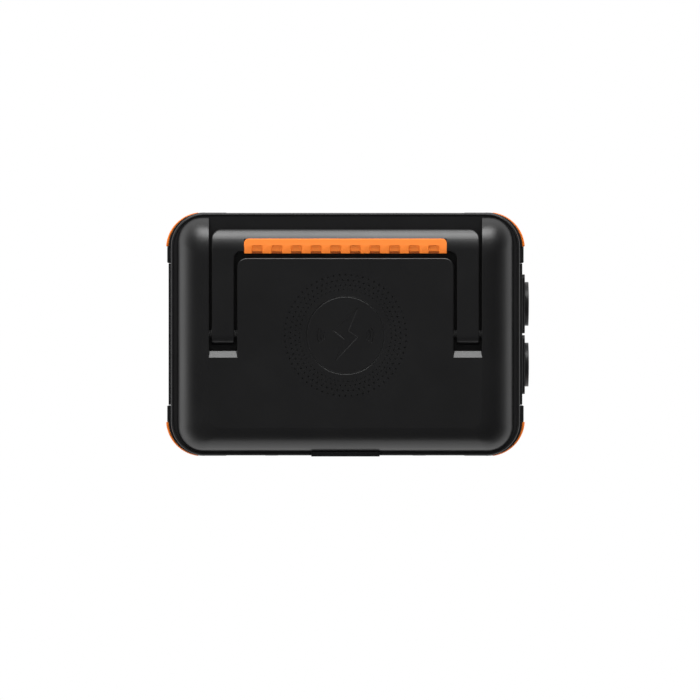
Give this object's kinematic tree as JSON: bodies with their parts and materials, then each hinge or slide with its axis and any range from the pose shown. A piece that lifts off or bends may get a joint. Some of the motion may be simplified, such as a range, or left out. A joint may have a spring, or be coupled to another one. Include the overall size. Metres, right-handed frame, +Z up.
{
  "type": "jump starter pack",
  "caption": "Box-shaped jump starter power pack with folding U handle, side sockets under hinged caps, front ports and a wireless charging top.",
  "frame": {"origin": "bottom centre of the pack, on the plane its feet stand on", "axes": "+X towards the side with the two sockets, -Y towards the front with the display, +Z up"},
  "size_m": [0.2366, 0.1589, 0.168],
  "materials": {
    "black_plastic": "fine matt grain",
    "panel_plastic": "matt",
    "gasket_rubber": "matt",
    "orange_rubber": "soft matt",
    "gloss_black": "gloss",
    "lens": "clear smoked gloss",
    "lcd": "satin",
    "button_plastic": "satin",
    "circuit_board": "satin",
    "plated_steel": "satin plated",
    "socket_plastic": "satin",
    "blue_plastic": "satin",
    "contact_brass": "bright",
    "black_rubber": "matt",
    "white_plastic": "matt",
    "copper_wire": "enamelled",
    "ferrite": "matt",
    "cell_sleeve": "gloss sleeve",
    "heat_sink_aluminium": "extruded",
    "screw_steel": "black zinc"
  },
  "bodies": {
    "pack": {"base_cover": "black_plastic", "main_case": "black_plastic", "top_cover": "black_plastic", "cover_gasket": "gasket_rubber", "left_side_panel": "black_plastic", "right_side_panel": "black_plastic", "corner_guards": "black_plastic", "corner_bumpers": "orange_rubber", "front_panel": "panel_plastic", "display_bezel": "gloss_black", "display_lens": "lens", "lcd_module": "lcd", "button_board": "circuit_board", "usb_a_port_upper": "plated_steel", "usb_a_port_lower": "plated_steel", "usb_c_port": "plated_steel", "dc_jack_upper": "socket_plastic", "dc_jack_lower": "socket_plastic", "jump_port": "blue_plastic", "jump_port_contacts": "contact_brass", "lamp_lens": "lens", "lamp_reflector": "white_plastic", "lamp_board": "circuit_board", "handle_pins": "plated_steel", "handle_pin_clips": "plated_steel", "socket_bezel_front": "socket_plastic", "socket_bezel_rear": "socket_plastic", "socket_shell_front": "plated_steel", "socket_shell_rear": "plated_steel", "socket_contact_front": "contact_brass", "socket_contact_rear": "contact_brass", "socket_nuts": "plated_steel", "hinge_pins": "plated_steel", "charging_coil": "copper_wire", "ferrite_shield": "ferrite", "coil_board": "circuit_board", "battery_cells": "cell_sleeve", "lower_cell_holder": "white_plastic", "upper_cell_holder": "white_plastic", "bus_bars": "plated_steel", "bms_board": "circuit_board", "main_board": "circuit_board", "heat_sink": "heat_sink_aluminium", "fan_frame": "socket_plastic", "input_port": "socket_plastic", "feet": "black_rubber", "case_screws": "screw_steel", "small_screws": "screw_steel"},
    "handle_assembly": {"handle": "black_plastic", "handle_grip": "orange_rubber", "handle_bushes": "white_plastic"},
    "cap_front": {"socket_cap_front": "gloss_black"},
    "cap_rear": {"socket_cap_rear": "gloss_black"},
    "power_key": {"power_button": "button_plastic"},
    "usb_key": {"usb_button": "button_plastic"},
    "dc_key": {"dc_button": "button_plastic"},
    "lamp_key": {"lamp_button": "button_plastic"},
    "jump_flap": {"jump_port_cover": "black_rubber"},
    "input_flap": {"input_port_cover": "black_rubber"},
    "rotor": {"fan_rotor": "socket_plastic"}
  },
  "joints": [
    {"name": "handle_hinge", "type": "hinge", "parent": "pack", "child": "handle_assembly", "pos_m": [0, 0, 0.1615], "axis": [1, 0, 0], "range_deg": [0, 90]},
    {"name": "socket_cap_front_hinge", "type": "hinge", "parent": "pack", "child": "cap_front", "pos_m": [0.1184, -0.0198, 0.0874], "axis": [0, 1, 0], "range_deg": [0, 110]},
    {"name": "socket_cap_rear_hinge", "type": "hinge", "parent": "pack", "child": "cap_rear", "pos_m": [0.1184, 0.0198, 0.0874], "axis": [0, 1, 0], "range_deg": [0, 110]},
    {"name": "power_button_press", "type": "slide", "parent": "pack", "child": "power_key", "axis": [0, 1, 0], "range_m": [0, 0.001], "stiffness_N_per_m": 300},
    {"name": "usb_button_press", "type": "slide", "parent": "pack", "child": "usb_key", "axis": [0, 1, 0], "range_m": [0, 0.001], "stiffness_N_per_m": 300},
    {"name": "dc_button_press", "type": "slide", "parent": "pack", "child": "dc_key", "axis": [0, 1, 0], "range_m": [0, 0.001], "stiffness_N_per_m": 300},
    {"name": "lamp_button_press", "type": "slide", "parent": "pack", "child": "lamp_key", "axis": [0, 1, 0], "range_m": [0, 0.001], "stiffness_N_per_m": 300},
    {"name": "jump_cover_hinge", "type": "hinge", "parent": "pack", "child": "jump_flap", "pos_m": [0.046, -0.0778, 0.0451], "axis": [1, 0, 0], "range_deg": [0, 90]},
    {"name": "input_cover_hinge", "type": "hinge", "parent": "pack", "child": "input_flap", "pos_m": [0, 0.0778, 0.1181], "axis": [-1, 0, 0], "range_deg": [0, 90]},
    {"name": "fan_spin", "type": "hinge", "parent": "pack", "child": "rotor", "pos_m": [-0.1, 0, 0.09], "axis": [1, 0, 0], "continuous": true}
  ]
}
